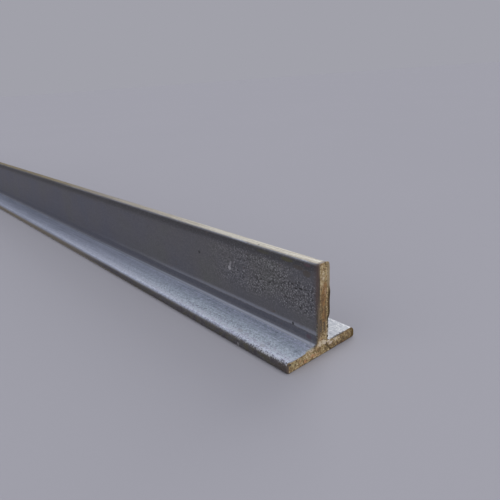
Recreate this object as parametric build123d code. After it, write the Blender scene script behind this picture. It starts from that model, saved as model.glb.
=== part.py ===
from build123d import *
import os

# Steel tee section, an equal hot-rolled tee bar 40 x 40 x 5 mm, in millimetres.
# The flange and the stem have parallel sides and meet in small root radii.
# The bar lies along X on the underside of its flange, and its stem stands up along +Z.
# The origin is on the underside, below the stem, half way along the bar.

# Driving dimensions of the section
flange_width = 40.0
section_height = 40.0
flange_thickness = 5.0
stem_thickness = 5.0
root_radius = 2.0
flange_toe_radius = 2.5  # upper corner of each flange toe
stem_toe_radius = 1.0  # both corners of the stem tip
underside_radius = 1.2  # lower corner of each flange toe, left by the rolls

# Driving dimension of the bar
bar_length = 1000.0

# Places on the section, worked out from the sizes above
toe_reach = flange_width / 2
stem_reach = stem_thickness / 2

# Two places closer than this are the same corner
same_place = 1e-6


def tee_outline():
    """The section with sharp corners, as a face in the YZ plane."""
    right_side = [
        (stem_reach, section_height),
        (stem_reach, flange_thickness),
        (toe_reach, flange_thickness),
        (toe_reach, 0),
    ]
    left_side = [(-reach, height) for reach, height in reversed(right_side)]
    return Plane.YZ * make_face(Polyline(*right_side, *left_side, close=True))


def rounded(section, reach, height, radius):
    """The section with its corners at a reach and a height, one on each side, rounded to a radius."""

    def is_there(corner):
        return abs(abs(corner.Y) - reach) < same_place and abs(corner.Z - height) < same_place

    return fillet(section.vertices().filter_by(is_there), radius)


def tee_section():
    """The bar, one rolled piece with a square cut at each end."""
    section = tee_outline()
    section = rounded(section, stem_reach, flange_thickness, root_radius)
    section = rounded(section, stem_reach, section_height, stem_toe_radius)
    section = rounded(section, toe_reach, flange_thickness, flange_toe_radius)
    section = rounded(section, toe_reach, 0, underside_radius)
    return extrude(section, amount=bar_length / 2, dir=(1, 0, 0), both=True)


os.makedirs("parts", exist_ok=True)
export_step(tee_section(), "parts/tee_section.step")
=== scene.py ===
"""Looks of a cut length of hot-rolled steel tee: rolled skin, rubbed edges and rusted cut ends."""

import math

import bmesh
import bpy
import numpy as np
from mathutils import Matrix, Vector, geometry, noise


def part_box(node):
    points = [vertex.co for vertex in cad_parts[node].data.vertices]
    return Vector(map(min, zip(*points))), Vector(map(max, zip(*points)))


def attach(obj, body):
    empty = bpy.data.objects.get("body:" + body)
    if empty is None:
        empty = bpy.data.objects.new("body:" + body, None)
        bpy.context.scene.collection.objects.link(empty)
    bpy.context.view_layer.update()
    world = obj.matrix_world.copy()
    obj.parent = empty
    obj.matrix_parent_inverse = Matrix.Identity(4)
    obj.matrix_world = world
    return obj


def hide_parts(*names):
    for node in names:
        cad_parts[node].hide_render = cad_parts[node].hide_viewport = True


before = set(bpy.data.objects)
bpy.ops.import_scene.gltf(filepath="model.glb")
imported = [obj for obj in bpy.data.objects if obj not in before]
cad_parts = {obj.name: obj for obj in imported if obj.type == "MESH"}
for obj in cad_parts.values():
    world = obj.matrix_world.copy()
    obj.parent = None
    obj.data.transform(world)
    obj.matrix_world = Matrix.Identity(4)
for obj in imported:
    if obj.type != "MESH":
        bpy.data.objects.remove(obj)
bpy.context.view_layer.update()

# Sizes of the bar. The skin is worked out in millimetres and written in metres
MM = 0.001
CAD_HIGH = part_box("tee_section")[1]
BAR_END = CAD_HIGH.x / MM
TOE_REACH = CAD_HIGH.y / MM
HEIGHT = CAD_HIGH.z / MM
FLANGE_THICKNESS = 5.0
STEM_REACH = 2.5
ROOT_RADIUS = 2.0
TOE_RADIUS = 2.5
TIP_RADIUS = 1.0
UNDERSIDE_RADIUS = 1.2

# The photograph's camera in the bar's frame: metres from the foot of the cut, degrees, and a focal length in
# the picture's pixels
CAMERA_FROM_CUT = Vector((0.11319, -0.1255, 0.10679))
CAMERA_YAW = -50.96
CAMERA_PITCH = 19.7
CAMERA_ROLL = -4.12
FOCAL_PIXELS = 477.9
PICTURE_PIXELS = 500
SENSOR_WIDTH = 36.0
CLIP_START_M = 0.01

# The stretches of half the section, from the middle of the tip to the middle of the underside. Each has the
# spacing of its points and its tone along the way: below 0 is darker than clean scale, 0 is scale and 1 is
# rubbed bright
STRETCHES = {
    "tip": (0.4, [(0, 0.98), (1, 0.93)]),
    "tip_corner": (0.2, [(0, 0.93), (0.35, 0.66), (0.6, 0.08), (1, -0.3)]),
    "stem": (0.7, [(0, -0.36), (0.06, -0.3), (0.12, -0.08), (0.2, 0.0), (0.6, 0.0), (1, -0.04)]),
    # The root's tone peaks a little above the flange's: a painted highlight along the foot of the stem
    "root": (0.2, [(0, -0.04), (0.35, -0.03), (0.5, 0.36), (0.68, 0.68), (0.85, 0.66), (1, 0.61)]),
    # The flange's tone, darker near the root and lighter towards the toe, is partly wear and partly painted
    # shade from the stem
    "flange": (0.7, [(0, 0.64), (0.15, 0.61), (0.35, 0.58), (0.65, 0.73), (0.8, 0.8), (0.92, 1), (1, 1)]),
    "toe_corner": (0.25, [(0, 1.02), (0.25, 0.88), (0.5, 0.4), (0.7, -0.05), (1, -0.2)]),
    "toe": (0.5, [(0, -0.15), (1, -0.15)]),
    "underside_corner": (0.3, [(0, 0.0), (1, 0.3)]),
    "underside": (2.5, [(0, 0.35), (1, 0.25)]),
}

# The least and the greatest tone of the right side of the flange, which is painted evenly, without the
# painted stem shade of the left side
RIGHT_FLANGE_TONES = (0.68, 0.72)

# How steeply the skin of a toe's upper corner faces up where it turns from toe to flange, and where the worn
# strip on that corner begins and ends
TOE_TO_FLANGE = (0.3, 0.8)
WORN_STRIP_START = (0.4, 0.55)
WORN_STRIP_END = (0.85, 0.95)


def rounded_corner(corner, before, after, radius, spacing):
    """Points of the arc that rounds a corner between two neighbours, from one tangent point to the other."""
    to_before = (before - corner) / np.linalg.norm(before - corner)
    to_after = (after - corner) / np.linalg.norm(after - corner)
    half_angle = math.acos(to_before @ to_after) / 2
    middle = (to_before + to_after) / np.linalg.norm(to_before + to_after)
    centre = corner + middle * radius / math.sin(half_angle)
    start = corner + to_before * radius / math.tan(half_angle) - centre
    turn = math.pi - 2 * half_angle
    if start[0] * to_before[1] - start[1] * to_before[0] > 0:
        turn = -turn
    count = max(3, math.ceil(abs(turn) * radius / spacing))
    angles = np.linspace(0, turn, count + 1)
    across = np.array([-start[1], start[0]])
    return centre + np.outer(np.cos(angles), start) + np.outer(np.sin(angles), across)


def straight(start, end, spacing):
    """Evenly spaced points from start to end."""
    count = max(1, math.ceil(np.linalg.norm(end - start) / spacing))
    return start + np.outer(np.linspace(0, 1, count + 1), end - start)


def half_section():
    """Points of the right half of the section with the tone and the stretch of each."""
    corners = [
        (np.array([0, HEIGHT]), 0),
        (np.array([STEM_REACH, HEIGHT]), TIP_RADIUS),
        (np.array([STEM_REACH, FLANGE_THICKNESS]), ROOT_RADIUS),
        (np.array([TOE_REACH, FLANGE_THICKNESS]), TOE_RADIUS),
        (np.array([TOE_REACH, 0]), UNDERSIDE_RADIUS),
        (np.array([0, 0]), 0),
    ]
    names = list(STRETCHES)
    points, tones, zones = [], [], []
    last = corners[0][0]
    for place, (corner, radius) in enumerate(corners[1:], start=1):
        line_name = names[2 * place - 2]
        if radius:
            arc_name = names[2 * place - 1]
            arc = rounded_corner(corner, last, corners[place + 1][0], radius, STRETCHES[arc_name][0])
            runs = [(line_name, straight(last, arc[0], STRETCHES[line_name][0])), (arc_name, arc)]
            last = arc[-1]
        else:
            runs = [(line_name, straight(last, corner, STRETCHES[line_name][0]))]
        for name, run in runs:
            tone = np.interp(np.linspace(0, 1, len(run)), *zip(*STRETCHES[name][1]))
            points.extend(run[:-1])
            tones.extend(tone[:-1])
            zones.extend([name] * (len(run) - 1))
    points.append(corners[-1][0])
    tones.append(STRETCHES["underside"][1][-1][1])
    zones.append("underside")
    return np.array(points), np.array(tones), np.array(zones)


class Section:
    """The whole section, once round from the middle of the tip by the right side.

    It holds the points, the outward normal, tone and stretch of each, and how far round each lies.
    """

    def __init__(self):
        points, tones, zones = half_section()
        self.points = np.vstack([points, points[-2:0:-1] * [-1, 1]])
        right = np.where(zones == "flange", np.clip(tones, *RIGHT_FLANGE_TONES), tones)
        right = np.where(zones == "toe_corner", np.minimum(right, RIGHT_FLANGE_TONES[1]), right)
        self.tones = np.concatenate([right, tones[-2:0:-1]])
        self.zones = np.concatenate([zones, zones[-2:0:-1]])
        ahead = np.roll(self.points, -1, axis=0) - self.points
        behind = self.points - np.roll(self.points, 1, axis=0)
        ahead /= np.linalg.norm(ahead, axis=1)[:, None]
        behind /= np.linalg.norm(behind, axis=1)[:, None]
        along = ahead + behind
        along /= np.linalg.norm(along, axis=1)[:, None]
        self.normals = np.column_stack([-along[:, 1], along[:, 0]])
        steps = np.linalg.norm(np.roll(self.points, -1, axis=0) - self.points, axis=1)
        self.around = np.concatenate([[0], np.cumsum(steps)[:-1]])

    def share(self, *names):
        """1 where the point lies on one of these stretches, else 0."""
        return np.isin(self.zones, names).astype(float)

    def topside(self, low, high):
        """1 on the upper part of the toe corner, 0 on its lower part, by how steeply the skin faces up."""
        return self.share("toe_corner") * np.clip((self.normals[:, 1] - low) / (high - low), 0, 1)


section = Section()


# Patterns of smooth noise over the skin: the length and width of their waves in millimetres, and a seed
ROLL_WAVES = (31, 9, 1.5)
SURFACE_WAVES = (7, 3, 4.5)
NICK_WAVES = (5, 4, 8.5)
FINE_NICK_WAVES = (1.7, 2, 11.5)
ROUNDING_WAVES = (9, 2.5, 21.5)
LIP_WAVES = (9, 3, 31.5)


def waves(x, pattern):
    """Smooth noise from -1 to 1 over the skin, for one place along the bar and every point around it."""
    length, width, seed = pattern
    return np.array([noise.noise(Vector((x / length, s / width, seed))) for s in section.around])


# Relief of the skin, in millimetres. The edges are nicked where the nick waves rise above a level, and the
# depth of the nicks is a list of (distance from the cut, depth)
ROLL_HEIGHT = 0.035
SURFACE_HEIGHT = 0.015
NICK_LEVEL = 0.28
FINE_NICK_LEVEL = 0.2
FINE_NICK_SHARE = 0.3
EDGE_NICK = [(0, 0.45), (60, 0.45), (160, 0.2), (1000, 0.2)]
RIDGE_HEIGHT = 0.06
RIDGE_WIDTH = 0.25


def relief(x):
    """How far every point around the section moves out of the nominal skin, at one place along the bar."""
    edges = section.share("tip_corner", "toe_corner")
    flush = section.share("tip", "toe", "underside", "underside_corner")
    wave = ROLL_HEIGHT * waves(x, ROLL_WAVES) + SURFACE_HEIGHT * waves(x, SURFACE_WAVES)
    nicks = np.clip(waves(x, NICK_WAVES) - NICK_LEVEL, 0, 1)
    nicks = nicks + FINE_NICK_SHARE * np.clip(waves(x, FINE_NICK_WAVES) - FINE_NICK_LEVEL, 0, 1)
    nicks *= np.interp(BAR_END - x, *zip(*EDGE_NICK))
    out = wave * (1 - flush) - np.abs(wave) * section.share("tip", "toe")
    return out - np.abs(out) * edges - nicks * edges + ridge()


def ridge():
    """The faint raised lines that the rolls leave where the root meets the stem and the flange."""
    root = section.zones == "root"
    limits = section.around[root != np.roll(root, 1)]
    nearest = np.min([np.abs(section.around - limit) for limit in limits], axis=0)
    return RIDGE_HEIGHT * np.exp(-((nearest / RIDGE_WIDTH) ** 2))


# The cut ends, in millimetres: how far they lie inside the CAD ends, how their edges are rounded in rings
# at these turns in degrees, and how far the foot of a cut lies behind its top. The rounding wavers with the
# waves at its place, and the burr with those at LIP_PLACE
CUT_DEPTH = 0.1
EDGE_RADIUS = 0.3
EDGE_TURNS = [20, 55, 90]
ROUNDING_PLACE = 40
ROUNDING_SHARE = 0.6
CUT_SKEW = 1.2
SKEW_LENGTH = 40.0

# The burr that the saw left on one side of the stem, and the push that it gave the upper stem: lists of
# (height up the stem, distance), fading over a length behind the cut
LIP_LENGTH = 0.65
LIP_PLACE = 3
LIP_WAVE_SHARE = 0.05
LIP = [(5.6, 0), (6.6, 1.05), (11, 1.2), (15, 1.0), (17, 1.95), (27, 1.95)]
LIP += [(30, 1.45), (36, 1.15), (38.5, 1.05), (39.2, 0.8), (39.7, 0.25), (39.9, 0)]
PUSH_LENGTH = 2.5
PUSH = [(24, 0), (30, 0.25), (36, 0.42), (40, 0.42)]

# Spacing of the rings of the skin, in millimetres: the first few from each cut, then near and far
END_STEPS = [0.75, 0.9, 1.1, 1.4, 1.8, 2.4, 3.2]
NEAR_SPACING = 1.3
FAR_SPACING = 6.0
NEAR_LENGTH = 240.0

# The shaken grid of the points inside a cut face: its spacing in millimetres, and shares of that spacing
CAP_SPACING = 0.36
ROW_SHARE = 0.87
SHAKE_SHARE = 0.12
RIM_GAP_SHARE = 0.6
RANDOM_SEED = 7

# Settings of the triangulation: only the inside of the outline, and how near points count as one
INSIDE_ONLY = 1
SAME_POINT = 1e-7

# Relief of the cut faces, in millimetres: patterns of noise as above, and the nick in the photographed one
TOOL_MARKS = (1.6, 3, 3.5)
TOOL_MARK_DEPTH = 0.05
PITS = (1, 1, 7.5)
PIT_LEVEL = 0.15
PIT_DEPTH = 0.22
NICK_START = np.array([2.8, 3.2])
NICK_END = np.array([5.4, 0.1])
NICK_WIDTH = 0.34
NICK_DEPTH = 0.45

# The chip at the upper corner of the left toe, at the cut that the photograph shows
CHIP_PLACE = np.array([-18.5, 4.1])
CHIP_SIZE = 1.0
CHIP_DEPTH = 0.7
CHIP_LENGTH = 5.0


def stations():
    """Places along the bar of the rings of the skin, dense at the cut end that the photograph shows."""
    near = np.arange(END_STEPS[-1] + NEAR_SPACING, NEAR_LENGTH, NEAR_SPACING)
    far = np.arange(NEAR_LENGTH + FAR_SPACING, 2 * BAR_END - END_STEPS[-1] - FAR_SPACING / 2, FAR_SPACING)
    from_cut = np.concatenate([END_STEPS, near, far, 2 * BAR_END - np.array(END_STEPS[::-1])])
    return BAR_END - from_cut[::-1]


def set_back(x, points):
    """How far the points of the section lie behind a square cut, for the lean of the cut and its chip."""
    lean = np.clip(1 - (BAR_END - x) / SKEW_LENGTH, 0, 1) * (1 - points[:, 1] / HEIGHT)
    chip = np.exp(-(np.sum((points - CHIP_PLACE) ** 2, axis=1) / CHIP_SIZE**2))
    return CUT_SKEW * lean + CHIP_DEPTH * np.clip(1 - (BAR_END - x) / CHIP_LENGTH, 0, 1) * chip


def lip(side):
    """How far the burr stands out of the skin at a cut end, for every point around the section."""
    reach, height = section.points.T
    burred = section.share("root", "stem", "tip_corner") * (reach > 0) * (side > 0)
    return np.interp(height, *zip(*LIP)) * burred * (1 + LIP_WAVE_SHARE * waves(LIP_PLACE, LIP_WAVES))


def pushed(points, x):
    """The points of a ring, with the upper part of the stem pushed over near the photographed end."""
    side = np.interp(points[:, 1], *zip(*PUSH)) * math.exp(-(((BAR_END - x) / PUSH_LENGTH) ** 2))
    return points + np.column_stack([side, np.zeros(len(points))])


def ring_points(x, out):
    """Points of a ring at one place, moved out of the nominal skin by these distances."""
    points = pushed(section.points + section.normals * out[:, None], x)
    return np.column_stack([x - set_back(x, points), points])


def skin_ring(x):
    """Points of the ring of the skin at one place, with the burr near a cut end."""
    out = relief(x)
    from_end = BAR_END - abs(x)
    if from_end < 4 * LIP_LENGTH:
        out = out + lip(math.copysign(1, x)) * math.exp(-((from_end / LIP_LENGTH) ** 2))
    return ring_points(x, out)


def edge_rings(side):
    """The rings that round the edge of a cut end, and end at the outline of its flat face."""
    radius = EDGE_RADIUS * (1 + ROUNDING_SHARE * waves(side * ROUNDING_PLACE, ROUNDING_WAVES))
    rings = []
    for turn in np.radians(EDGE_TURNS):
        out = relief(side * BAR_END) + lip(side) - radius * (1 - math.cos(turn))
        ring = ring_points(side * BAR_END, out)
        ring[:, 0] -= side * (CUT_DEPTH + radius * (1 - math.sin(turn)))
        rings.append(ring)
    return rings


def inside(points, outline):
    """Whether each point lies inside the closed outline."""
    a, b = outline, np.roll(outline, -1, axis=0)
    y, z = points[:, 0][:, None], points[:, 1][:, None]
    crosses = (a[:, 1] > z) != (b[:, 1] > z)
    rise = np.where(b[:, 1] == a[:, 1], 1, b[:, 1] - a[:, 1])
    at = a[:, 0] + (z - a[:, 1]) / rise * (b[:, 0] - a[:, 0])
    return np.sum(crosses & (y < at), axis=1) % 2 == 1


def distance_to(points, start, end):
    """Distance of each point from a straight stretch."""
    run = end - start
    t = np.clip((points - start) @ run / (run @ run), 0, 1)
    return np.linalg.norm(points - start - np.outer(t, run), axis=1)


def cap_points(outline, random):
    """Points inside the outline of a cut face, on a shaken grid that leaves the rim free."""
    rows = np.arange(0, HEIGHT, CAP_SPACING * ROW_SHARE)
    columns = np.arange(-TOE_REACH, TOE_REACH, CAP_SPACING)
    grid = np.array([(y + CAP_SPACING / 2 * (i % 2), z) for i, z in enumerate(rows) for y in columns])
    grid = grid + random.uniform(-SHAKE_SHARE, SHAKE_SHARE, grid.shape) * CAP_SPACING
    grid = grid[inside(grid, outline)]
    gap = np.min(np.linalg.norm(grid[:, None, :] - outline[None, :, :], axis=2), axis=1)
    return grid[gap > RIM_GAP_SHARE * CAP_SPACING]


def nick(points, side):
    """1 along the nick that the saw left across one cut face, fading to 0 beside it."""
    if side < 0:
        return np.zeros(len(points))
    return np.exp(-((distance_to(points, NICK_START, NICK_END) / NICK_WIDTH) ** 2))


def face_noise(points, side, pattern):
    """Smooth noise from -1 to 1 at the points of one cut face."""
    width, height, seed = pattern
    return np.array([noise.noise(Vector((y / width, z / height, side * seed))) for y, z in points])


def cap_relief(points, side):
    """How deep each point of a cut face lies behind its plane: tool marks, pits and the nick."""
    marks = TOOL_MARK_DEPTH * (face_noise(points, side, TOOL_MARKS) + 1)
    pits = PIT_DEPTH * np.maximum(0, face_noise(points, side, PITS) - PIT_LEVEL)
    return marks + pits + NICK_DEPTH * nick(points, side)


def cap(outline, side, random):
    """Inner points and triangles of a cut face. A triangle counts the outline's points first."""
    inner = cap_points(outline, random)
    flat = [Vector(p) for p in np.vstack([outline, inner])]
    rim = list(range(len(outline)))
    _, _, faces, origins, _, _ = geometry.delaunay_2d_cdt(flat, [], [rim], INSIDE_ONLY, SAME_POINT)
    triangles = [[origins[i][0] for i in face] for face in faces]
    x = side * (BAR_END - CUT_DEPTH - cap_relief(inner, side))
    return np.column_stack([x - set_back(x, inner), inner]), triangles


def add_attributes(mesh, ring_count, nicked):
    """Writes what the materials read: the tone and stretch of each point of the rings, and the nick."""
    attributes = {
        "tone": section.tones,
        "root": section.share("root"),
        "stem": section.share("stem", "root"),
        "flange": section.share("flange") + section.topside(*TOE_TO_FLANGE),
        "toe": section.share("toe", "toe_corner", "underside_corner") - section.topside(*TOE_TO_FLANGE),
        "edge": section.topside(*WORN_STRIP_START) - section.topside(*WORN_STRIP_END),
        "tip": section.share("tip", "tip_corner"),
        "rim": np.ones(len(section.points)),
    }
    spread = {name: np.append(np.tile(values, ring_count), 0 * nicked) for name, values in attributes.items()}
    spread["nick"] = np.append(np.zeros(ring_count * len(section.points)), nicked)
    for name, values in spread.items():
        layer = mesh.attributes.new(name, "FLOAT", "POINT")
        layer.data.foreach_set("value", values.astype(np.float32))


def build_bar():
    """The whole bar as one closed mesh with the attributes that its materials read."""
    random = np.random.default_rng(RANDOM_SEED)
    back, front = edge_rings(-1)[::-1], edge_rings(1)
    rings = back + [skin_ring(x) for x in stations()] + front
    count = len(section.points)
    faces, cut_faces = [], []
    for ring in range(len(rings) - 1):
        on_edge = ring < len(back) - 1 or ring >= len(rings) - len(front)
        for i in range(count):
            j = (i + 1) % count
            quad = [ring * count + i, ring * count + j, (ring + 1) * count + j, (ring + 1) * count + i]
            (cut_faces if on_edge else faces).append(quad)
    vertices = [np.vstack(rings)]
    total = len(rings) * count
    nicked = []
    for side, ring in ((-1, 0), (1, len(rings) - 1)):
        inner, triangles = cap(rings[ring][:, 1:], side, random)
        nicked.append(nick(inner[:, 1:], side))
        for triangle in triangles:
            cut_faces.append([ring * count + i if i < count else total + i - count for i in triangle])
        vertices.append(inner)
        total += len(inner)
    mesh = bpy.data.meshes.new("rolled_bar")
    mesh.from_pydata((np.vstack(vertices) * MM).tolist(), [], faces + cut_faces)
    mesh.polygons.foreach_set("material_index", [0] * len(faces) + [1] * len(cut_faces))
    add_attributes(mesh, len(rings), np.concatenate(nicked))
    turn_outwards(mesh)
    bar = bpy.data.objects.new("rolled_bar", mesh)
    bpy.context.scene.collection.objects.link(bar)
    return bar


SHARP_ANGLE = 38


def turn_outwards(mesh):
    """Turns every face outwards and smooths the skin between its sharp edges."""
    work = bmesh.new()
    work.from_mesh(mesh)
    bmesh.ops.recalc_face_normals(work, faces=work.faces)
    work.to_mesh(mesh)
    work.free()
    mesh.shade_smooth()
    mesh.set_sharp_from_angle(angle=math.radians(SHARP_ANGLE))


GRAIN_RANDOMNESS = 0.85


class Paint:
    """A material and short names for the nodes that it is made of."""

    def __init__(self, name):
        self.material = bpy.data.materials.new(name)
        self.material.use_nodes = True
        self.tree = self.material.node_tree
        self.shader = self.tree.nodes["Principled BSDF"]

    def add(self, kind, inputs, **settings):
        node = self.tree.nodes.new(kind)
        for key, value in settings.items():
            setattr(node, key, value)
        for key, value in inputs.items():
            self.put(node, key, value)
        return node

    def put(self, node, key, value):
        socket = node.inputs[key]
        if isinstance(value, bpy.types.NodeSocket):
            self.tree.links.new(value, socket)
        else:
            socket.default_value = value

    def vectors(self, operation, a, b):
        return self.add("ShaderNodeVectorMath", {0: a, 1: b}, operation=operation).outputs[0]

    def times(self, vector, factors):
        """A place stretched, or a colour tinted."""
        return self.vectors("MULTIPLY", vector, factors)

    def attribute(self, name):
        return self.add("ShaderNodeAttribute", {}, attribute_name=name).outputs["Fac"]

    def noise(self, vector, scale, detail=2.0, roughness=0.5):
        """Smooth noise from 0 to 1. The scale is one number, or a tuple with one for each axis."""
        if isinstance(scale, tuple):
            vector, scale = self.times(vector, scale), 1.0
        inputs = {"Vector": vector, "Scale": scale, "Detail": detail, "Roughness": roughness}
        return self.add("ShaderNodeTexNoise", inputs).outputs["Fac"]

    def cells(self, vector, scale):
        """A random number from 0 to 1 for each of many small cells."""
        node = self.add("ShaderNodeTexVoronoi", {"Vector": vector, "Scale": scale})
        return self.part(node.outputs["Color"], "X")

    def grains(self, vector, scale):
        """0 at the middle of each of many small grains, rising between them."""
        inputs = {"Vector": vector, "Scale": scale, "Randomness": GRAIN_RANDOMNESS}
        return self.add("ShaderNodeTexVoronoi", inputs).outputs["Distance"]

    def math(self, operation, a, b=0.0):
        return self.add("ShaderNodeMath", {0: a, 1: b}, operation=operation).outputs[0]

    def sum(self, *values):
        """The sum of these values. A tuple stands for a noise value that is scaled first."""
        total, *rest = (self.scaled(*value) if isinstance(value, tuple) else value for value in values)
        for value in rest:
            total = self.math("ADD", total, value)
        return total

    def product(self, first, *rest):
        for value in rest:
            first = self.math("MULTIPLY", first, value)
        return first

    def less(self, value, taken):
        return self.math("SUBTRACT", value, taken)

    def scaled(self, value, factor, middle=0.5):
        """A noise value centred on 0 and scaled."""
        return self.math("MULTIPLY", self.less(value, middle), factor)

    def between(self, value, low, high):
        """0 at low and 1 at high, and smooth between them."""
        inputs = {"Value": value, "From Min": low, "From Max": high}
        return self.add("ShaderNodeMapRange", inputs, interpolation_type="SMOOTHSTEP").outputs["Result"]

    def ramp(self, value, stops):
        """A colour from a list of (position, colour)."""
        node = self.add("ShaderNodeValToRGB", {"Fac": value})
        band = node.color_ramp
        while len(band.elements) < len(stops):
            band.elements.new(1.0)
        for element, (position, colour) in zip(band.elements, stops):
            element.position = position
            element.color = (*colour, 1)
        return node.outputs["Color"]

    def profile(self, value, stops):
        """A number from 0 up that follows a list of (place, number) along a value."""
        low, high = stops[0][0], stops[-1][0]
        inputs = {"Value": value, "From Min": low, "From Max": high}
        share = self.add("ShaderNodeMapRange", inputs).outputs["Result"]
        return self.ramp(share, [((place - low) / (high - low), (number,) * 3) for place, number in stops])

    def mix(self, share, a, b):
        node = self.add("ShaderNodeMix", {}, data_type="RGBA")
        self.put(node, 0, share)
        for socket, colour in ((6, a), (7, b)):
            self.put(node, socket, colour if isinstance(colour, bpy.types.NodeSocket) else (*colour, 1))
        return node.outputs[2]

    def over(self, colour, fresh, *shares):
        """A colour with a fresh one laid over it, by the product of these shares."""
        return self.mix(self.product(*shares), colour, fresh)

    def finished(self, colour, metallic, roughness, relief_height, depth_mm):
        """The material, once its shader has its colour, gloss and bump."""
        self.put(self.shader, "Base Color", colour)
        self.put(self.shader, "Metallic", metallic)
        self.put(self.shader, "Roughness", roughness)
        inputs = {"Height": relief_height, "Distance": depth_mm * MM, "Strength": 1.0}
        self.put(self.shader, "Normal", self.add("ShaderNodeBump", inputs).outputs["Normal"])
        return self.material

    def part(self, vector, axis):
        return self.add("ShaderNodeSeparateXYZ", {"Vector": vector}).outputs[axis]

    def spot(self, place, centre, size, soft=0.4):
        """1 in an ellipsoid at a place on the bar, 0 outside it, for a mark of its own."""
        away = self.vectors("DIVIDE", self.vectors("SUBTRACT", place, centre), size)
        length = self.add("ShaderNodeVectorMath", {0: away}, operation="LENGTH").outputs["Value"]
        return self.between(length, 1.0, 1.0 - soft)


class BarPaint(Paint):
    """A material with the places on the bar in millimetres, and fades between two of them."""

    def __init__(self, name):
        super().__init__(name)
        where = self.add("ShaderNodeTexCoord", {}).outputs["Object"]
        self.place = self.times(where, (1 / MM, 1 / MM, 1 / MM))
        self.along, self.across, self.height = (self.part(self.place, axis) for axis in "XYZ")
        self.from_cut = self.less(BAR_END, self.along)

    def noises(self, patterns):
        """Keeps a noise under the name of each pattern."""
        for name, settings in patterns.items():
            setattr(self, name, self.noise(self.place, *settings))

    def back(self, places):
        return self.between(self.from_cut, *places)

    def side(self, places):
        return self.between(self.across, *places)

    def up(self, places):
        return self.between(self.height, *places)


# Marks on the skin that the photograph shows, by colour: millimetres back from the foot of the cut, across
# and up, then half sizes, then strength
SKIN_MARKS = {
    (0.4, 0.39, 0.4): [
        ((54.6, -2.5, 24.4), (1.3, 1.0, 1.3), 1.0),
        ((54.0, -2.5, 26.0), (0.7, 1.0, 1.1), 0.7),
        ((53.4, -2.5, 27.3), (0.6, 1.0, 1.0), 0.55),
        ((43.9, -2.5, 25.6), (0.8, 1.0, 0.6), 0.5),
        ((29.5, -20.0, 1.5), (0.8, 1.0, 1.3), 0.5),
        ((16.7, -17.4, 5.0), (1.6, 1.3, 1.0), 0.35),
        ((32.8, -15.7, 5.0), (1.8, 1.4, 1.0), 0.3),
    ],
    (0.035, 0.032, 0.032): [
        ((79.1, -2.5, 26.5), (1.1, 1.0, 1.0), 0.8),
        ((13.7, -2.6, 10.2), (0.7, 1.0, 0.9), 0.95),
        ((52.5, -2.5, 22.8), (0.9, 1.0, 0.7), 0.6),
        ((8.6, -2.5, 27.4), (1.5, 1.0, 0.5), 0.95),
        ((11.3, -2.5, 26.8), (1.2, 1.0, 0.5), 0.9),
        ((13.2, -2.5, 28.3), (1.0, 1.0, 0.5), 0.85),
        ((33.9, -1.2, 39.9), (0.8, 0.5, 0.5), 0.7),
    ],
    (0.105, 0.098, 0.052): [
        ((15.8, -2.4, 38.1), (4.2, 1.2, 1.1), 0.75),
        ((30.0, -2.4, 38.0), (5.0, 1.2, 0.9), 0.4),
    ],
    (0.12, 0.072, 0.09): [
        ((4.9, -2.7, 7.4), (1.9, 1.2, 1.3), 0.6),
        ((4.6, -2.4, 38.4), (2.2, 1.2, 0.8), 0.6),
    ],
    (0.098, 0.082, 0.07): [
        ((5.0, -2.5, 34.8), (2.6, 1.0, 1.8), 0.75),
        ((9.5, -2.5, 36.3), (3.5, 1.0, 1.2), 0.6),
    ],
}

# The darker band along the foot of the stem, painted shade in the corner, and the pale line above it, a
# painted highlight, in millimetres up
BAND_TOP = 9.35
BAND_LINE = 1.5

# Patterns of the skin: scale per millimetre or one for each axis, then detail and roughness of noises
SKIN_NOISES = {
    "grain": (1.0, 2.0, 0.6),
    "fine": (2.4, 2.0, 0.5),
    "mottle": (0.42, 3.0, 0.6),
    "patches": (0.11, 3.0, 0.5),
    "patchy": (0.16, 2.0, 0.5),
    "clouds": (0.035, 2.0, 0.5),
    "blooms": (0.3, 4.0, 0.65),
    "streaks": ((0.04, 1.1, 1.1), 3.0, 0.5),
    "flecks": ((0.55, 1.5, 1.5), 2.0, 0.7),
    "scratches": ((0.012, 3.5, 3.5), 2.0, 0.5),
}
SKIN_BUMP = 0.06
DOT_SCALE = 1.9
GRAIN_SCALE = 1.3

# Where paints of the skin are 0 and where they are 1, in millimetres from the cut
SPECKS = (78.0, 46.0)
FAR_PART = (60.0, 190.0)
FAR_TIP = (180.0, 320.0)
SMOOTH_CORNER = (19.0, 9.0)
EDGE_RUST = (4.0, 0.8)
TOE_RUST = (13.0, 2.0)
CREEP_LINE = (1.9, 0.9)
BURR_RUST_AND_SHADE = (1.8, 0.9)
BURR_BACK = (6.0, 4.0)

# The same up the bar and across it
SPECKS_FOOT = (14.0, 20.0)
SPECKS_TOP = (38.0, 33.0)
SMOOTH_CORNER_UP = (28.0, 33.0)
CREEP_LINE_UP = (16.0, 25.0)
FLANGE_TOP = (4.2, 4.9)
CALM_STRIP = (-14.0, -10.0)
LILAC_TO_GREENISH = (-5.0, -10.0)
GREENISH_TO_OUTER = (-15.5, -18.5)
STRAW_START = (-3.5, -5.5)
SHADOW_START = (4.5, 6.0)
SHADOW_END = (15.5, 12.0)

# Wear of the skin by distance from the cut in millimetres: 1 keeps the tone of the section's stretch, 0
# leaves scale
TIP_WEAR = [(0, 0.88), (45, 1.0), (70, 0.95), (120, 0.78), (200, 0.56), (320, 0.36), (1000, 0.32)]
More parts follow.
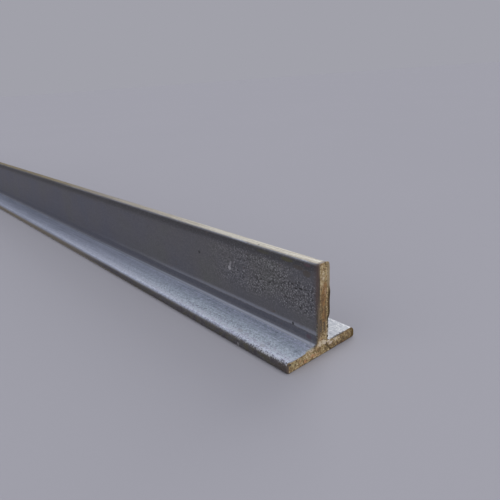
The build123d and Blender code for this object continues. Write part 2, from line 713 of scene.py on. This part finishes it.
# HIGHLIGHT_FADE is not wear: it fades the painted highlights along the root and above the stem's band
HIGHLIGHT_FADE = [(0, 1.0), (55, 0.85), (90, 0.6), (130, 0.4), (220, 0.0), (1000, 0.0)]
FLANGE_WEAR = [(0, 1.0), (110, 0.96), (200, 0.78), (320, 0.6), (1000, 0.56)]
TOE_WEAR = [(0, 0.0), (60, 0.05), (120, 0.14), (200, 0.36), (320, 0.44), (1000, 0.44)]
CORNER_WEAR = [(0, 1.0), (14, 0.8), (40, 0.2), (120, 0.05), (1000, 0.05)]

# How far the rust of a cut creeps over the skin, in millimetres: up the stem and across the flange
CREEP_UP = [(0, 1.0), (9, 1.0), (18, 0.9), (26, 0.3), (40, 0.15)]
CREEP_ACROSS = [(-20, 0.0), (-9.8, 0.0), (-8.8, 0.9), (-3, 1.7), (1.0, 1.7), (1.5, 0.0), (20, 0.0)]

# Colours of the skin, from the darkest scale to the brightest rubbed steel
SCALE_TO_STEEL = [
    (0.0, (0.046, 0.045, 0.048)),
    (0.16, (0.086, 0.084, 0.09)),
    (0.31, (0.134, 0.131, 0.142)),
    (0.5, (0.23, 0.255, 0.31)),
    (0.69, (0.44, 0.475, 0.55)),
    (0.94, (0.7, 0.73, 0.79)),
]
WARM_STEEL = [
    (0.31, (0.132, 0.126, 0.116)),
    (0.5, (0.2, 0.165, 0.108)),
    (0.66, (0.305, 0.27, 0.21)),
    (0.8, (0.48, 0.435, 0.335)),
    (0.94, (0.68, 0.65, 0.545)),
]
SCALE_NEAR = [(0.35, (0.124, 0.124, 0.138)), (0.5, (0.136, 0.131, 0.134)), (0.65, (0.136, 0.136, 0.124))]
SCALE_FAR = [(0.35, (0.111, 0.117, 0.151)), (0.5, (0.12, 0.12, 0.146)), (0.65, (0.123, 0.125, 0.138))]
TOE_SCALE = [(0.38, (0.058, 0.046, 0.054)), (0.48, (0.08, 0.078, 0.084)), (0.58, (0.084, 0.076, 0.054))]
# Painted shade of the band at the foot of the stem, and the painted highlight above it
BAND_SHADE = (0.108, 0.114, 0.145)
BAND_LINE_GREY = (0.282, 0.274, 0.293)
GREENISH_TINT = (1.0, 1.08, 1.12)
OUTER_TINT = (1.06, 1.05, 1.13)
LILAC_TINT = (1.0, 1.02, 1.13)
FAR_TINT = (1.0, 1.015, 1.09)
RIGHT_TINT = (1.0, 0.975, 0.91)
FAR_TIP_TINT = (0.93, 0.87, 0.62)
NO_TINT = (1.0, 1.0, 1.0)
WHITE_GRAIN = (0.36, 0.358, 0.365)
BLACK_GRAIN = (0.046, 0.044, 0.045)
BARE_CORNER = (0.6, 0.62, 0.66)
DARK_CORNER = (0.06, 0.054, 0.056)
EDGE_BROWN = (0.115, 0.08, 0.072)
TOE_BROWN = (0.074, 0.056, 0.05)
TOE_SPECK = (0.15, 0.13, 0.125)
CREEP_BROWN = (0.112, 0.077, 0.066)
CREEP_COLOURS = [(0.15, (0.098, 0.08, 0.062)), (0.5, (0.16, 0.13, 0.092)), (0.9, (0.52, 0.52, 0.44))]
BLOOM_BROWN = (0.13, 0.085, 0.06)


class Skin(BarPaint):
    """The material of the rolled skin, with the attributes and patterns that its layers share."""

    def __init__(self, name):
        super().__init__(name)
        for zone in ("tone", "flange", "toe", "edge", "root", "stem", "tip"):
            setattr(self, zone, self.attribute(zone))
        self.from_end = self.less(BAR_END, self.math("ABSOLUTE", self.along))
        self.far_along = self.back(FAR_PART)
        self.noises(SKIN_NOISES)
        self.dots = self.cells(self.place, DOT_SCALE)
        leaning = self.product(self.height, CUT_SKEW / HEIGHT)
        self.behind_cut = self.sum(self.from_end, leaning, -CUT_SKEW)


def skin_level(skin):
    """How brightly the skin is rubbed, 0 for dark scale to 1 for bare steel, with painted shade and
    highlights.
    """
    ragged = skin.sum(skin.height, (skin.streaks, 1.2), (skin.grain, 0.6))
    # The pale line is a painted highlight above the band, and the band below it is painted shade
    line = skin.product(
        skin.stem,
        skin.between(ragged, BAND_TOP - 0.25, BAND_TOP + 0.3),
        skin.between(ragged, BAND_TOP + BAND_LINE + 1.1, BAND_TOP + BAND_LINE - 0.9),
    )
    skin.band = skin.product(skin.stem, skin.between(ragged, BAND_TOP + 0.35, BAND_TOP - 0.8))
    highlight_fade = skin.profile(skin.from_cut, HIGHLIGHT_FADE)
    skin.line = skin.product(line, highlight_fade, skin.sum(0.65, (skin.mottle, 1.6, 0.4)))
    worn = skin.sum(
        1.0,
        skin.product(skin.tip, skin.less(skin.profile(skin.from_cut, TIP_WEAR), 1.0)),
        # The root's painted highlight fades away from the cut like the line above the band
        skin.product(skin.root, skin.less(highlight_fade, 1.0), 0.55),
        skin.product(skin.flange, skin.less(skin.profile(skin.from_cut, FLANGE_WEAR), 1.0)),
    )
    calm = skin.product(skin.side(CALM_STRIP), 0.55)
    sandy = skin.sum((skin.grain, 0.9), (skin.dots, 0.52))
    flange_grain = skin.sum(
        skin.product(sandy, skin.less(1.0, calm)),
        (skin.mottle, 0.4),
        (skin.streaks, 0.55),
        skin.product(skin.between(skin.flecks, 0.56, 0.68), 0.28),
        -0.04,
    )
    even = skin.product(
        skin.sum(1.0, skin.product(skin.far_along, -0.6)),
        skin.sum(0.25, skin.product(skin.up(FLANGE_TOP), 0.75)),
    )
    # The rubbed level, with the painted shade and highlights at the stem's foot and the flange's painted
    # shade
    rubbed = skin.sum(
        skin.product(skin.tone, worn),
        skin.product(skin.toe, skin.profile(skin.from_cut, TOE_WEAR)),
        # Painted shade of the band and the painted highlight of the line above it
        skin.product(skin.band, -0.05),
        skin.product(line, skin.sum(skin.product(highlight_fade, 0.3), 0.05)),
        (skin.streaks, 0.14),
        skin.product(skin.flange, flange_grain, even),
        skin.product(skin.tip, skin.scaled(skin.streaks, 0.7)),
        skin.product(skin.tip, skin.scaled(skin.grain, 0.5)),
    )
    return skin.product(skin.math("ADD", rubbed, 0.5), 1 / 1.6)


def skin_hue(skin, level):
    """The skin's colour for each level: bluish steel on the flange, warm on the tip, dark neutral scale."""
    tip_top = skin.product(skin.tip, skin.between(skin.height, HEIGHT - 0.35, HEIGHT - 0.03))
    warmth = skin.product(skin.math("MAXIMUM", tip_top, skin.toe), 0.9)
    colour = skin.mix(warmth, skin.ramp(level, SCALE_TO_STEEL), skin.ramp(level, WARM_STEEL))
    wavering = skin.sum(skin.across, (skin.streaks, 9.0), (skin.dots, 9.0))
    tint = skin.mix(skin.between(wavering, *LILAC_TO_GREENISH), LILAC_TINT, GREENISH_TINT)
    tint = skin.mix(skin.between(wavering, *GREENISH_TO_OUTER), tint, OUTER_TINT)
    tint = skin.mix(skin.far_along, tint, FAR_TINT)
    tint = skin.mix(skin.between(skin.across, -1.0, 1.0), tint, RIGHT_TINT)
    colour = skin.times(colour, skin.mix(skin.flange, NO_TINT, tint))
    far_tip = skin.product(skin.tip, skin.back(FAR_TIP))
    colour = skin.times(colour, skin.mix(far_tip, NO_TINT, FAR_TIP_TINT))
    skin.scale = skin.between(level, 0.48, 0.36)
    hue = skin.mix(skin.far_along, skin.ramp(skin.clouds, SCALE_NEAR), skin.ramp(skin.clouds, SCALE_FAR))
    colour = skin.over(colour, hue, skin.scale, skin.between(level, 0.2, 0.3), 0.7)
    # Painted shade in the band at the foot of the stem, then the painted highlight above it
    colour = skin.over(colour, BAND_SHADE, skin.band, skin.scale, 0.65)
    colour = skin.over(colour, BAND_LINE_GREY, skin.line, 0.85)
    return skin.over(colour, skin.ramp(skin.mottle, TOE_SCALE), skin.toe, skin.scale, 0.85)


def speckled(skin, colour):
    """Salt and pepper on the stem, in patches near the cut, and on the worn upper corner of the toe."""
    patchy = skin.between(skin.patchy, 0.34, 0.6)
    smooth_corner = skin.product(skin.back(SMOOTH_CORNER), skin.up(SMOOTH_CORNER_UP))
    field = skin.product(
        skin.back(SPECKS),
        skin.up(SPECKS_FOOT),
        skin.up(SPECKS_TOP),
        skin.sum(skin.product(patchy, 0.6), 0.4),
        skin.less(1.0, skin.product(smooth_corner, 0.8)),
    )
    share = skin.product(skin.scale, skin.sum(skin.product(field, 0.85), 0.15))
    varied = skin.sum(skin.grains(skin.place, GRAIN_SCALE), (skin.dots, 0.25))
    salt = skin.product(skin.between(varied, 0.4, 0.18), share)
    pepper = skin.product(skin.between(varied, 0.6, 0.85), share)
    colour = skin.mix(salt, colour, WHITE_GRAIN)
    colour = skin.mix(pepper, colour, BLACK_GRAIN)
    worn_corner = skin.product(skin.edge, skin.profile(skin.from_cut, CORNER_WEAR))
    colour = skin.over(colour, BARE_CORNER, worn_corner, skin.between(skin.dots, 0.6, 0.68), 0.7)
    return skin.over(colour, DARK_CORNER, worn_corner, skin.between(skin.dots, 0.44, 0.36), 0.8)


def rusted(skin, colour):
    """Rust on the skin: at the cut ends, on the burr, and in a few faint blooms; painted shade on the burr
    and the flange's edge.
    """
    near_end = skin.between(skin.from_end, *EDGE_RUST)
    grainy = skin.between(skin.grain, 0.28, 0.52)
    colour = skin.over(colour, EDGE_BROWN, near_end, grainy, skin.scale, 0.55)
    near_end = skin.between(skin.from_end, *TOE_RUST)
    toe_rust = skin.product(skin.toe, near_end, skin.between(skin.mottle, 0.3, 0.5))
    colour = skin.over(colour, TOE_BROWN, toe_rust, 0.65)
    colour = skin.over(colour, TOE_SPECK, toe_rust, skin.between(skin.dots, 0.62, 0.8), 0.45)
    line = skin.between(skin.behind_cut, *CREEP_LINE)
    colour = skin.over(colour, CREEP_BROWN, line, skin.up(CREEP_LINE_UP), 0.8)

    ragged = skin.sum(skin.behind_cut, (skin.grain, 2.2), (skin.fine, 0.8))
    up, across = skin.profile(skin.height, CREEP_UP), skin.profile(skin.across, CREEP_ACROSS)
    reach = skin.mix(skin.flange, up, across)
    creeping = skin.product(
        skin.between(skin.less(ragged, reach), 0.3, -0.3),
        skin.between(reach, 0.05, 0.3),
        skin.less(1.0, skin.toe),
    )
    straw = skin.product(skin.flange, skin.side(STRAW_START), 0.8)
    brown_to_straw = skin.ramp(skin.sum((skin.dots, 0.7), straw, 0.3), CREEP_COLOURS)
    colour = skin.mix(creeping, colour, brown_to_straw)
    # The burr's side near the cut: dark rust and painted shade in one colour
    on_burr = skin.product(
        skin.stem,
        skin.between(skin.across, STEM_REACH, STEM_REACH + 0.25),
        skin.between(skin.behind_cut, *BURR_RUST_AND_SHADE),
        skin.back(BURR_BACK),
    )
    colour = skin.mix(on_burr, colour, DARK_BURR)
    # A painted shadow on the right flange's top along the cut's edge
    right_edge = skin.product(
        skin.flange,
        skin.side(SHADOW_START),
        skin.side(SHADOW_END),
        skin.between(ragged, 1.0, 0.5),
    )
    colour = skin.over(colour, EDGE_SHADOW, right_edge, 0.8)
    return skin.over(colour, BLOOM_BROWN, skin.between(skin.blooms, 0.62, 0.72), 0.35)


def marked(skin, colour):
    """The single marks that the photograph shows."""
    for mark_colour, marks in SKIN_MARKS.items():
        for (back, across, up), size, strength in marks:
            mark = skin.spot(skin.place, (BAR_END - CUT_SKEW - back, across, up), size)
            colour = skin.over(colour, mark_colour, mark, strength)
    return colour


def mill_scale():
    """The rolled skin: dark grained scale, rubbed bright where handled, rusty near the cuts, painted shade
    and highlights.
    """
    skin = Skin("mill_scale")
    level = skin_level(skin)
    colour = skin_hue(skin, level)
    for layer in (speckled, rusted, marked):
        colour = layer(skin, colour)
    roughness = skin.sum(0.58, (level, -0.25), (skin.grain, 0.25))
    relief_height = skin.sum((skin.grain, 1.0), (skin.fine, 0.5), (skin.scratches, 0.35), (skin.patches, 1.2))
    return skin.finished(colour, 0.35, roughness, relief_height, SKIN_BUMP)


# Brightness of the cut face that the photograph shows, up the stem and across the flange, in millimetres
UP_THE_STEM = [(0, 0.5), (7, 0.62), (10, 0.42), (18, 0.34), (26, 0.36), (30, 0.42), (35, 0.66), (40, 0.46)]
ACROSS_THE_STEM = [(-2.5, 0.28), (-1.6, 0.34), (-0.9, 0.44), (0.2, 0.38), (1.2, 0.38), (2.2, 0.45), (3, 0.45)]
ACROSS_THE_FLANGE = [(-20, 0.4), (-14, 0.58), (-6, 0.58), (2, 0.47), (8, 0.42), (11, 0.3), (20, 0.24)]

# Patches of that face by colour: (across, up), half sizes and strength. Later ones lie over earlier ones
CUT_PATCHES = {
    (0.68, 0.585, 0.42): [((-0.4, 5.7), (3.6, 1.6), 1.0), ((0.2, 34.0), (1.5, 2.4), 0.5)],
    (0.52, 0.25, 0.11): [
        ((-5.4, 1.9), (2.2, 1.2), 0.85),
        ((-9.8, 1.5), (2.0, 1.1), 0.7),
        ((-2.0, 1.4), (1.8, 0.8), 0.45),
        ((-12.5, 2.6), (1.2, 0.8), 0.5),
    ],
    (0.285, 0.158, 0.058): [
        ((0.7, 25.5), (2.2, 6.0), 0.95),
        ((1.5, 29.5), (1.5, 3.6), 0.9),
        ((1.0, 17.5), (1.8, 5.2), 0.85),
    ],
    (0.12, 0.066, 0.026): [((-0.3, 23.5), (0.5, 5.0), 0.8), ((1.6, 18.5), (0.6, 5.0), 0.9)],
    (0.22, 0.165, 0.072): [((3.0, 1.9), (2.4, 1.6), 0.65), ((14.5, 1.4), (4.0, 1.1), 0.5)],
    (0.72, 0.62, 0.5): [
        ((5.8, 3.5), (1.1, 0.9), 0.95),
        ((8.0, 3.6), (1.1, 0.6), 0.85),
        ((10.4, 3.5), (0.9, 0.5), 0.7),
        ((-1.4, 4.6), (1.2, 0.6), 0.6),
        ((1.8, 4.7), (1.2, 0.8), 0.85),
        ((3.7, 4.6), (1.5, 0.9), 0.9),
        ((4.9, 3.3), (1.5, 1.1), 0.75),
        ((-6.3, 4.6), (3.0, 0.7), 0.55),
    ],
    (0.44, 0.38, 0.2): [((-16.0, 2.8), (2.8, 1.4), 0.6)],
    (0.5, 0.34, 0.22): [((1.7, 27.8), (1.0, 1.8), 0.5), ((0.2, 30.5), (0.9, 1.5), 0.35)],
    (0.088, 0.066, 0.046): [((-1.2, 12.8), (1.7, 5.5), 0.95), ((1.2, 12.6), (0.9, 3.4), 0.8)],
    # Painted shade in the chip at the upper corner of the left toe
    (0.06, 0.045, 0.036): [((-18.3, 3.5), (1.3, 0.7), 1.0)],
}

# Patterns of the cut faces, as for the skin. The saw marks of the flange slant by an angle in degrees
CUT_NOISES = {
    "sand": (1.1, 2.0, 0.7),
    "fine": (2.6, 2.0, 0.6),
    "blotch": (0.33, 2.0, 0.55),
    "rust": (0.4, 4.0, 0.75),
    "upright": ((1.0, 2.2, 0.22), 2.0, 0.5),
}
CRUMB_SCALE = 1.5
SLANT_STRETCH = (1.0, 1.9, 0.35)
SAW_SLANT = 33.0
CUT_BUMP = 0.12

# Where paints of that face are 0 and where they are 1, in millimetres across it and up
STEM_FOOT = (5.5, 9.0)
SLOPE_START = (3.5, 6.5)
SLOPE_END = (19.0, 9.0)
LEFT_OF_STEM = (-1.0, -1.9)
UPPER_LEFT = (-1.2, -1.8)
UPPER_LEFT_FOOT = (20.0, 28.0)
UPPER_LEFT_TOP = (36.5, 33.5)
RIM_SHADOW_START = (5.0, 6.5)
RIM_SHADOW_END = (15.5, 12.5)
RIM_SHADOW_FOOT = (4.2, 4.7)
RIM_SHADOW_TOP = (7.0, 6.0)
RIGHT_TOE = (TOE_REACH - 2.4, TOE_REACH - 0.9)
LEFT_TOE = (1.5 - TOE_REACH, 0.8 - TOE_REACH)
BURR_FOOT = (6.0, 7.0)
BURR_CRUMBS = (16.0, 13.0)
BURR_PALER = (26.0, 31.0)
BURR_NARROW_FOOT = (15.0, 18.0)
BURR_NARROW_TOP = (31.0, 27.0)

CUT_COLOURS = [
    (0.0, (0.08, 0.054, 0.026)),
    (0.25, (0.185, 0.123, 0.053)),
    (0.5, (0.335, 0.24, 0.104)),
    (0.75, (0.56, 0.44, 0.24)),
    (1.0, (0.8, 0.71, 0.5)),
]
# Dark rust on the burr, with painted shade on its side
DARK_BURR = (0.046, 0.029, 0.004)
PALE_BURR = (0.33, 0.26, 0.155)
LEFT_EDGE = (0.145, 0.108, 0.072)
DARK_LEFT_EDGE = (0.055, 0.043, 0.038)
# Painted shade at the right toe's end of the cut face, where its rounding turns away
FLANGE_END = (0.112, 0.066, 0.006)
EDGE_SHADOW = (0.075, 0.068, 0.07)
PALE_CRUMBS = (0.5, 0.45, 0.36)
TOE_RIM = (0.085, 0.066, 0.055)
EDGE_STEEL = (0.36, 0.4, 0.47)
ORANGE_RUST = (0.44, 0.21, 0.095)
NICK_BROWN = (0.055, 0.04, 0.022)

# How high the rust of that face reaches across the flange: above it the steel of its upper side wraps over
RUST_TOP = [(-20, 4.2), (-17, 4.25), (-13, 4.45), (-9.5, 4.7), (-8.8, 12), (20, 12)]


class CutFace(BarPaint):
    """The material of the cut faces, with the patterns that its layers share."""

    def __init__(self, name):
        super().__init__(name)
        self.near = self.between(self.along, 0.0, 1.0)
        self.on_stem = self.up(STEM_FOOT)
        self.on_flange = self.less(1.0, self.on_stem)
        self.rim = self.attribute("rim")
        self.noises(CUT_NOISES)
        self.crumbs = self.cells(self.place, CRUMB_SCALE)


def cut_level(face):
    """Brightness of a cut face: saw marks, sand, painted shade at its bottom edge and, at the photographed
    end, its lie of light and dark.
    """
    inputs = {"Vector": face.place, "Angle": math.radians(SAW_SLANT)}
    turned = face.add("ShaderNodeVectorRotate", inputs, rotation_type="X_AXIS").outputs[0]
    slanted = face.noise(turned, SLANT_STRETCH)
    bands = face.profile(face.across, ACROSS_THE_STEM)
    lie = face.sum(
        face.product(face.on_stem, face.profile(face.height, UP_THE_STEM)),
        face.product(face.on_flange, face.profile(face.across, ACROSS_THE_FLANGE)),
    )
    slope = face.product(face.on_flange, face.side(SLOPE_START), face.side(SLOPE_END))
    return face.sum(
        0.44,
        face.product(face.on_stem, face.scaled(face.upright, 1.4)),
        face.product(face.on_stem, face.near, face.scaled(bands, 1.0, 0.44)),
        face.product(face.on_flange, face.scaled(slanted, 1.1)),
        (face.sand, 1.1),
        (face.fine, 1.1),
        (face.crumbs, 0.42),
        (face.blotch, 0.4),
        face.product(face.near, face.scaled(lie, 1.0, 0.44)),
        face.product(face.near, slope, face.scaled(face.height, 0.1, 1.9)),
        # Painted shade along the rounded bottom edge of the cut
        face.product(face.rim, face.between(face.height, 1.0, 0.3), -0.35),
    )


def cut_edges(face, colour):
    """The edges of the photographed cut: brown on the left of the stem, the burr, the toes, the nick and
    painted shade.
    """
    colour = face.over(colour, LEFT_EDGE, face.near, face.on_stem, face.side(LEFT_OF_STEM), 0.85)
    upper = face.product(face.near, face.up(UPPER_LEFT_FOOT), face.up(UPPER_LEFT_TOP))
    colour = face.over(colour, DARK_LEFT_EDGE, upper, face.side(UPPER_LEFT), 0.85)
    # A painted shadow along the flange's upper rim of the cut, right of the stem
    shadow = face.product(
        face.near,
        face.rim,
        face.up(RIM_SHADOW_FOOT),
        face.up(RIM_SHADOW_TOP),
        face.side(RIM_SHADOW_START),
        face.side(RIM_SHADOW_END),
    )
    colour = face.over(colour, EDGE_SHADOW, shadow, 0.85)
    above = face.less(face.height, face.profile(face.across, RUST_TOP))
    colour = face.over(colour, EDGE_STEEL, face.near, face.on_flange, face.between(above, 0.0, 0.3))
    # Painted shade darkens the right toe's end of the cut face
    colour = face.over(colour, FLANGE_END, face.near, face.side(RIGHT_TOE), 0.9)
    colour = face.over(colour, TOE_RIM, face.near, face.side(LEFT_TOE), 0.95)

    beyond = face.sum(face.across, (face.sand, -0.6))
    narrow = face.product(face.up(BURR_NARROW_FOOT), face.up(BURR_NARROW_TOP))
    burr_start = face.sum(STEM_REACH, face.product(narrow, 0.7))
    burr = face.between(face.less(beyond, burr_start), 0.0, 0.3)
    burr = face.product(face.near, burr, face.up(BURR_FOOT))
    # The burr on the cut face: dark rust and painted shade low down, paler above
    hue = face.mix(face.up(BURR_PALER), DARK_BURR, PALE_BURR)
    low = face.mix(face.between(face.crumbs, 0.45, 0.6), DARK_BURR, PALE_CRUMBS)
    hue = face.mix(face.up(BURR_CRUMBS), hue, low)
    colour = face.over(colour, hue, burr, 0.92)
    return face.over(colour, NICK_BROWN, face.attribute("nick"), 0.75)


def cut_rust():
    """A sawn face that has rusted lightly: ochre and orange-brown, sandy, over faint tool marks, with some
    painted shade.
    """
    face = CutFace("cut_rust")
    colour = face.ramp(cut_level(face), CUT_COLOURS)
    rust, grains = face.between(face.rust, 0.48, 0.7), face.between(face.fine, 0.3, 0.6)
    colour = face.over(colour, ORANGE_RUST, rust, grains, 0.5)
    for patch_colour, patches in CUT_PATCHES.items():
        for (across, up), (half_width, half_height), strength in patches:
            patch = face.spot(face.place, (BAR_END, across, up), (20.0, half_width, half_height), 0.5)
            broken = face.sum(patch, (face.sand, 2.2), (face.crumbs, 1.1))
            ragged = face.between(broken, 0.3, 1.15)
            colour = face.over(colour, patch_colour, patch, ragged, face.near, strength)
    colour = cut_edges(face, colour)
    roughness = face.sum(0.68, (face.sand, 0.3))
    relief_height = face.sum((face.sand, 1.0), (face.fine, 0.6), (face.upright, 0.4))
    return face.finished(colour, 0.0, roughness, relief_height, CUT_BUMP)


FLOOR_GREYS = (0.392, 0.392, 0.432), (0.406, 0.406, 0.446)


def floor_paint():
    """Plain pale floor with the faintest mottling."""
    paint = Paint("pale_floor")
    where = paint.add("ShaderNodeTexCoord", {}).outputs["Object"]
    shade = paint.noise(where, 3.0, 4.0)
    paint.put(paint.shader, "Base Color", paint.mix(shade, *FLOOR_GREYS))
    paint.put(paint.shader, "Roughness", 0.9)
    paint.put(paint.shader, "Specular IOR Level", 0.0)
    return paint.material


# The studio. Each light has an azimuth from +X towards +Y, an elevation and a spread in degrees, a strength
# and a colour
FLOOR_RADIUS_M = 60.0
FLOOR_SIDES = 64
LAMP_DISTANCE_M = 3
LIGHTS = {
    "overhead": (110, 78, 60, 0.5, (1, 1, 1)),
    "back": (112, 27, 40, 1.0, (1, 1, 1)),
    "end_fill": (0, 28, 40, 0.9, (1.0, 0.97, 0.93)),
    "side_fill": (-95, 30, 60, 0.6, (1, 1, 1)),
}
SKY_COLOUR = (0.887, 0.887, 1.0)
SKY_STRENGTH = 0.402


def build_floor():
    """A wide round floor."""
    corners = [2 * math.pi * i / FLOOR_SIDES for i in range(FLOOR_SIDES)]
    vertices = [(FLOOR_RADIUS_M * math.cos(a), FLOOR_RADIUS_M * math.sin(a), 0.0) for a in corners]
    mesh = bpy.data.meshes.new("studio_floor")
    mesh.from_pydata(vertices, [], [tuple(range(FLOOR_SIDES))])
    mesh.materials.append(floor_paint())
    floor = bpy.data.objects.new("studio_floor", mesh)
    bpy.context.scene.collection.objects.link(floor)


def add_soft_light(name, azimuth, elevation, spread, strength, colour):
    """A wide, distant panel of light."""
    light = bpy.data.lights.new(name, "SUN")
    light.angle = math.radians(spread)
    light.energy = strength
    light.color = colour
    a, e = math.radians(azimuth), math.radians(elevation)
    towards = Vector((math.cos(a) * math.cos(e), math.sin(a) * math.cos(e), math.sin(e)))
    lamp = bpy.data.objects.new(name, light)
    lamp.rotation_euler = towards.to_track_quat("Z", "Y").to_euler()
    lamp.location = towards * LAMP_DISTANCE_M
    bpy.context.scene.collection.objects.link(lamp)


def build_lights():
    """Soft light from above and behind, fills for the cut face and the near side, and an even pale sky."""
    for name, settings in LIGHTS.items():
        add_soft_light(name, *settings)
    world = bpy.data.worlds.new("studio")
    world.use_nodes = True
    background = world.node_tree.nodes["Background"]
    background.inputs["Color"].default_value = (*SKY_COLOUR, 1)
    background.inputs["Strength"].default_value = SKY_STRENGTH
    bpy.context.scene.world = world


def build_camera():
    """The photograph's camera."""
    data = bpy.data.cameras.new("photo_camera")
    data.sensor_width = SENSOR_WIDTH
    data.lens = SENSOR_WIDTH * FOCAL_PIXELS / PICTURE_PIXELS
    data.clip_start = CLIP_START_M
    camera = bpy.data.objects.new("photo_camera", data)
    heading = Matrix.Rotation(math.radians(-CAMERA_YAW), 4, "Z")
    tilt = Matrix.Rotation(math.radians(90 - CAMERA_PITCH), 4, "X")
    roll = Matrix.Rotation(math.radians(CAMERA_ROLL), 4, "Z")
    place = Matrix.Translation(Vector((CAD_HIGH.x - CUT_SKEW * MM, 0, 0)) + CAMERA_FROM_CUT)
    camera.matrix_world = place @ heading @ tilt @ roll
    bpy.context.scene.collection.objects.link(camera)
    bpy.context.scene.camera = camera


bpy.context.scene.view_settings.view_transform = "Standard"
build_camera()
build_floor()
build_lights()

bar = build_bar()
bar.data.materials.append(mill_scale())
bar.data.materials.append(cut_rust())
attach(bar, "root")
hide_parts("tee_section")
